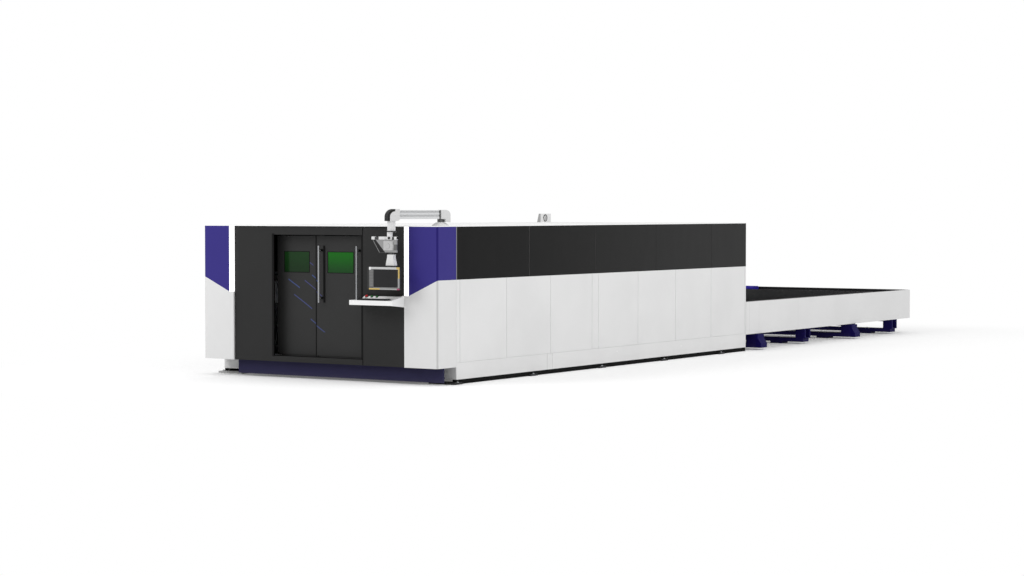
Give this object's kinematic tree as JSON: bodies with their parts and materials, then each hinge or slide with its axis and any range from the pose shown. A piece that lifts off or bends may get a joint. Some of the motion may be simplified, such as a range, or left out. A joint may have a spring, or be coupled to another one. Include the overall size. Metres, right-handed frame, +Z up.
{
  "type": "enclosed laser cutting machine",
  "caption": "Enclosed laser cutting machine: sliding doors, gantry with cutting head, operator pendant, and a table that exchanges slatted pallets.",
  "frame": {"origin": "on the floor, in the middle of the whole machine", "axes": "+X to the operator's right, +Y from the doors to the exchange table's far end, +Z up"},
  "size_m": [4.68, 17.59, 2.589],
  "materials": {
    "white_panel": "white textured powder coat",
    "purple_panel": "purple powder coat",
    "dark_panel": "charcoal powder coat",
    "black_band": "near-black powder coat",
    "navy_plate": "dark navy paint",
    "leg_purple": "dark purple paint",
    "bed_grey": "grey machine paint",
    "rail_steel": "ground steel",
    "slat_steel": "heat-stained steel plate",
    "pallet_frame": "dark grey machine paint",
    "foot_steel": "zinc-plated steel",
    "window_front": "green laser-safe acrylic",
    "window_rear": "green laser-safe acrylic, darker behind",
    "light_strip": "glowing white diffuser",
    "handle_steel": "satin stainless steel",
    "arm_aluminium": "anodised extrusion",
    "pendant_white": "white powder coat",
    "bracket_grey": "grey powder coat",
    "black_plastic": "black matte plastic",
    "screen_housing": "grey matte plastic",
    "red_button": "red gloss plastic",
    "green_button": "green gloss plastic",
    "gantry_paint": "pale grey powder coat",
    "head_metal": "machined aluminium"
  },
  "bodies": {
    "machine": {"arm_base": "pendant_white", "base_skirts": "white_panel", "bed_crossbars": "bed_grey", "bed_side_left": "bed_grey", "bed_side_right": "bed_grey", "button_box": "white_panel", "cabin_frame_left": "bed_grey", "cabin_frame_right": "bed_grey", "console_shelf": "white_panel", "door_jamb": "dark_panel", "door_sill": "dark_panel", "door_track": "dark_panel", "exchange_drive": "purple_panel", "front_base_plate": "navy_plate", "front_panel_left": "dark_panel", "front_panel_right": "dark_panel", "front_plinth": "white_panel", "guide_rails": "rail_steel", "keyboard": "black_plastic", "levelling_feet": "foot_steel", "light_strips": "light_strip", "rear_wall": "white_panel", "roof": "white_panel", "roof_port_box": "white_panel", "side_wall_left": "white_panel", "side_wall_right": "white_panel", "table_end_skirt": "white_panel", "table_leg_beams": "leg_purple", "table_leg_posts": "leg_purple", "table_rails": "bed_grey", "table_skirt_left": "white_panel", "table_skirt_right": "white_panel", "tower_lower_left": "white_panel", "tower_lower_right": "white_panel", "tower_upper_left": "purple_panel", "tower_upper_right": "purple_panel", "upper_band_left": "black_band", "upper_band_right": "black_band"},
    "leading_door": {"leading_leaf": "dark_panel", "leading_window": "window_front", "door_handles": "handle_steel"},
    "trailing_door": {"trailing_leaf": "dark_panel", "trailing_window": "window_rear"},
    "gantry": {"gantry_beam": "gantry_paint"},
    "carriage": {"head_carriage": "gantry_paint"},
    "head": {"cutting_head": "head_metal"},
    "lower_pallet": {"lower_pallet": "pallet_frame", "lower_pallet_slats": "slat_steel", "lower_pallet_rollers": "rail_steel"},
    "upper_pallet": {"upper_pallet": "pallet_frame", "upper_pallet_slats": "slat_steel", "upper_pallet_rollers": "rail_steel"},
    "arm": {"swing_arm": "arm_aluminium", "drop_tube": "arm_aluminium"},
    "pendant": {"swivel_head": "pendant_white", "tilt_bracket": "bracket_grey"},
    "monitor": {"monitor": "screen_housing"},
    "stop_button": {"stop_button": "red_button"},
    "start_button": {"start_button": "green_button"},
    "reset_button": {"reset_button": "green_button"}
  },
  "joints": [
    {"name": "leading_door_slide", "type": "slide", "parent": "machine", "child": "leading_door", "axis": [-1, 0, 0], "range_m": [0, 1.656]},
    {"name": "trailing_door_slide", "type": "slide", "parent": "machine", "child": "trailing_door", "axis": [-1, 0, 0], "range_m": [0, 0.828]},
    {"name": "gantry_slide", "type": "slide", "parent": "machine", "child": "gantry", "axis": [0, 1, 0], "range_m": [0, 8.1]},
    {"name": "head_slide", "type": "slide", "parent": "gantry", "child": "carriage", "axis": [1, 0, 0], "range_m": [-1.45, 1.45]},
    {"name": "head_lift", "type": "slide", "parent": "carriage", "child": "head", "axis": [0, 0, 1], "range_m": [-0.11, 0.2]},
    {"name": "upper_pallet_slide", "type": "slide", "parent": "machine", "child": "upper_pallet", "axis": [0, -1, 0], "range_m": [0, 7.7]},
    {"name": "lower_pallet_slide", "type": "slide", "parent": "machine", "child": "lower_pallet", "axis": [0, 1, 0], "range_m": [0, 7.7]},
    {"name": "arm_swing", "type": "hinge", "parent": "machine", "child": "arm", "pos_m": [1.996, -8.05088, 2.47], "axis": [0, 0, 1], "range_deg": [0, 60]},
    {"name": "pendant_swivel", "type": "hinge", "parent": "arm", "child": "pendant", "pos_m": [1.56599, -8.686, 2.298], "axis": [0, 0, 1], "range_deg": [-20, 45]},
    {"name": "monitor_tilt", "type": "hinge", "parent": "pendant", "child": "monitor", "pos_m": [1.56599, -8.691, 1.72], "axis": [1, 0, 0], "range_deg": [-15, 15]},
    {"name": "stop_button_press", "type": "slide", "parent": "machine", "child": "stop_button", "axis": [0, 0.5595, -0.8288], "range_m": [0, 0.004], "stiffness_N_per_m": 800},
    {"name": "start_button_press", "type": "slide", "parent": "machine", "child": "start_button", "axis": [0, 0.5595, -0.8288], "range_m": [0, 0.004], "stiffness_N_per_m": 800},
    {"name": "reset_button_press", "type": "slide", "parent": "machine", "child": "reset_button", "axis": [0, 0.5595, -0.8288], "range_m": [0, 0.004], "stiffness_N_per_m": 800}
  ],
  "couplings": [
    {"joint": "trailing_door_slide", "follows": "leading_door_slide", "ratio": 0.5},
    {"joint": "lower_pallet_slide", "follows": "upper_pallet_slide", "ratio": 1}
  ]
}
